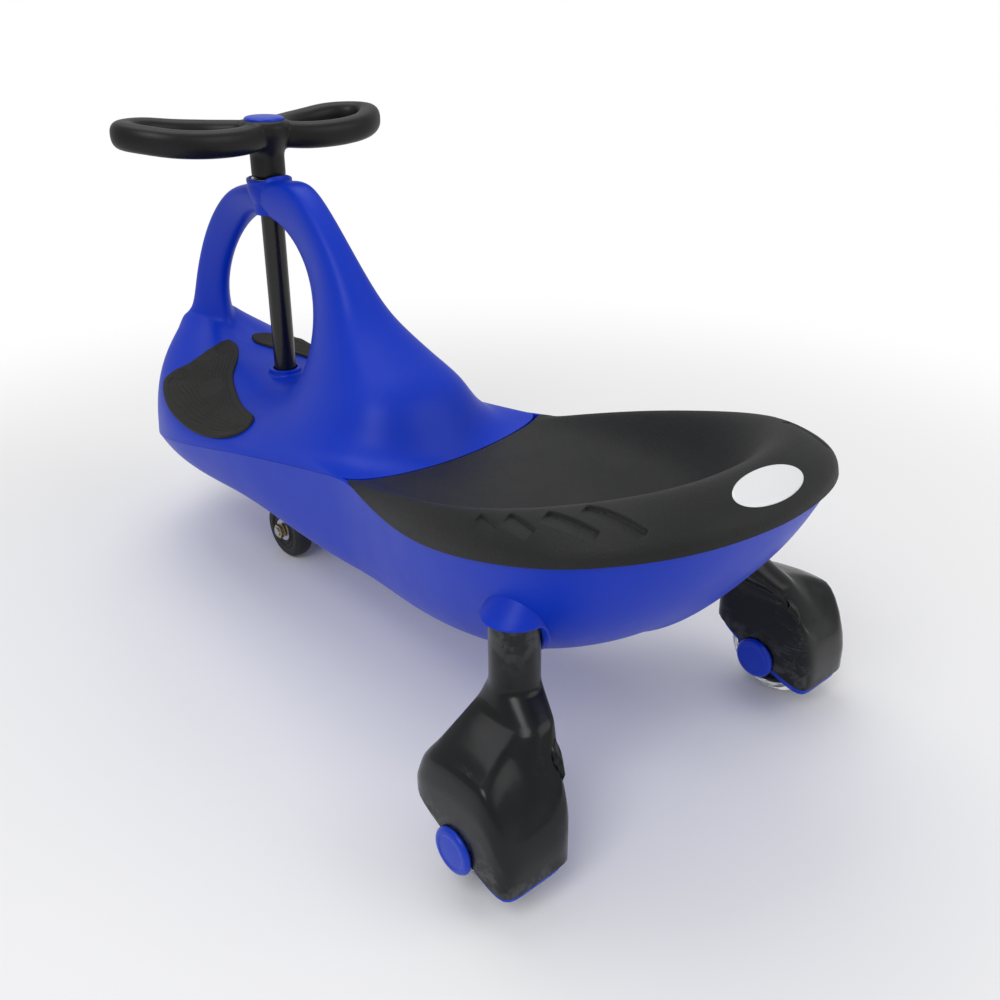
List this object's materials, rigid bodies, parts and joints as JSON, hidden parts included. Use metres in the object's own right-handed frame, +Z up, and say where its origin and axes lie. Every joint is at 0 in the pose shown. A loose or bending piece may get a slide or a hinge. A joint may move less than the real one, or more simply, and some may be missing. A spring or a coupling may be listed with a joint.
{
  "type": "swing car",
  "caption": "Child's swing car: boat-shaped shell with an arch and scooped seat, looped handlebar on a turning column, small front truck and hooded rear wheels on legs.",
  "frame": {"origin": "on the ground, below the middle of the bounding box", "axes": "+X forward to the nose, +Y to the rider's left, +Z up"},
  "size_m": [0.709, 0.3574, 0.4012],
  "materials": {
    "blue_shell": "satin blown polyethylene with fine scuffs",
    "seat_black": "fine leather-like moulded grain, matt",
    "badge_white": "bare glossy white oval",
    "pad_rubber": "matt rubber with fine curved ridges",
    "hood_black": "glossy with light scratches",
    "blue_trim": "satin",
    "clear_tyre": "clear cast polyurethane",
    "core_black": "satin",
    "front_tyre": "matt",
    "steel": "zinc-plated",
    "nut_zinc": "yellow passivated",
    "bush_nylon": "plain nylon",
    "handlebar_black": "fine-grained satin",
    "tube_black": "satin black enamel"
  },
  "bodies": {
    "root": {"upper_shell": "blue_shell", "lower_hull": "blue_shell", "seat_panel": "seat_black", "seat_badge": "badge_white", "foot_pad_left": "pad_rubber", "foot_pad_right": "pad_rubber", "leg_left": "hood_black", "leg_right": "hood_black", "fork_left": "blue_trim", "fork_right": "blue_trim", "axle_cap_left_inner": "blue_trim", "axle_cap_left_outer": "blue_trim", "axle_cap_right_inner": "blue_trim", "axle_cap_right_outer": "blue_trim", "rear_axle_left": "steel", "rear_axle_right": "steel", "leg_screw_left": "steel", "leg_screw_right": "steel", "shell_screw_1": "steel", "shell_screw_2": "steel", "shell_screw_3": "steel", "seat_screw_1": "steel", "seat_screw_2": "steel", "seat_screw_3": "steel", "upper_bush": "bush_nylon", "lower_bush": "bush_nylon"},
    "front_wheel_left": {"front_tyre_left": "front_tyre", "front_core_left": "core_black", "front_bearing_left": "steel"},
    "rear_wheel_left": {"rear_tyre_left": "clear_tyre", "rear_core_left": "core_black", "rear_bearing_left_inner": "steel", "rear_bearing_left_outer": "steel"},
    "front_wheel_right": {"front_tyre_right": "front_tyre", "front_core_right": "core_black", "front_bearing_right": "steel"},
    "rear_wheel_right": {"rear_tyre_right": "clear_tyre", "rear_core_right": "core_black", "rear_bearing_right_inner": "steel", "rear_bearing_right_outer": "steel"},
    "steering": {"steering_tube": "tube_black", "handlebar": "handlebar_black", "centre_cap": "blue_trim", "handlebar_bolt": "steel", "tube_plug": "steel", "collar_washer": "steel", "thrust_washer": "steel", "front_truck": "core_black", "front_axle": "steel", "front_nut_left": "nut_zinc", "front_nut_right": "nut_zinc"}
  },
  "joints": [
    {"name": "steering_turn", "type": "hinge", "parent": "root", "child": "steering", "pos_m": [0.1855, 0, 0.176], "axis": [-0.0314, 0, 0.9995], "continuous": true},
    {"name": "front_wheel_left_roll", "type": "hinge", "parent": "steering", "child": "front_wheel_left", "pos_m": [0.16714, 0.0225, 0.028], "axis": [0, 1, 0], "continuous": true},
    {"name": "front_wheel_right_roll", "type": "hinge", "parent": "steering", "child": "front_wheel_right", "pos_m": [0.16714, -0.0225, 0.028], "axis": [0, 1, 0], "continuous": true},
    {"name": "rear_wheel_left_roll", "type": "hinge", "parent": "root", "child": "rear_wheel_left", "pos_m": [-0.269, 0.1458, 0.0365], "axis": [0, 1, 0], "continuous": true},
    {"name": "rear_wheel_right_roll", "type": "hinge", "parent": "root", "child": "rear_wheel_right", "pos_m": [-0.269, -0.1458, 0.0365], "axis": [0, 1, 0], "continuous": true}
  ]
}
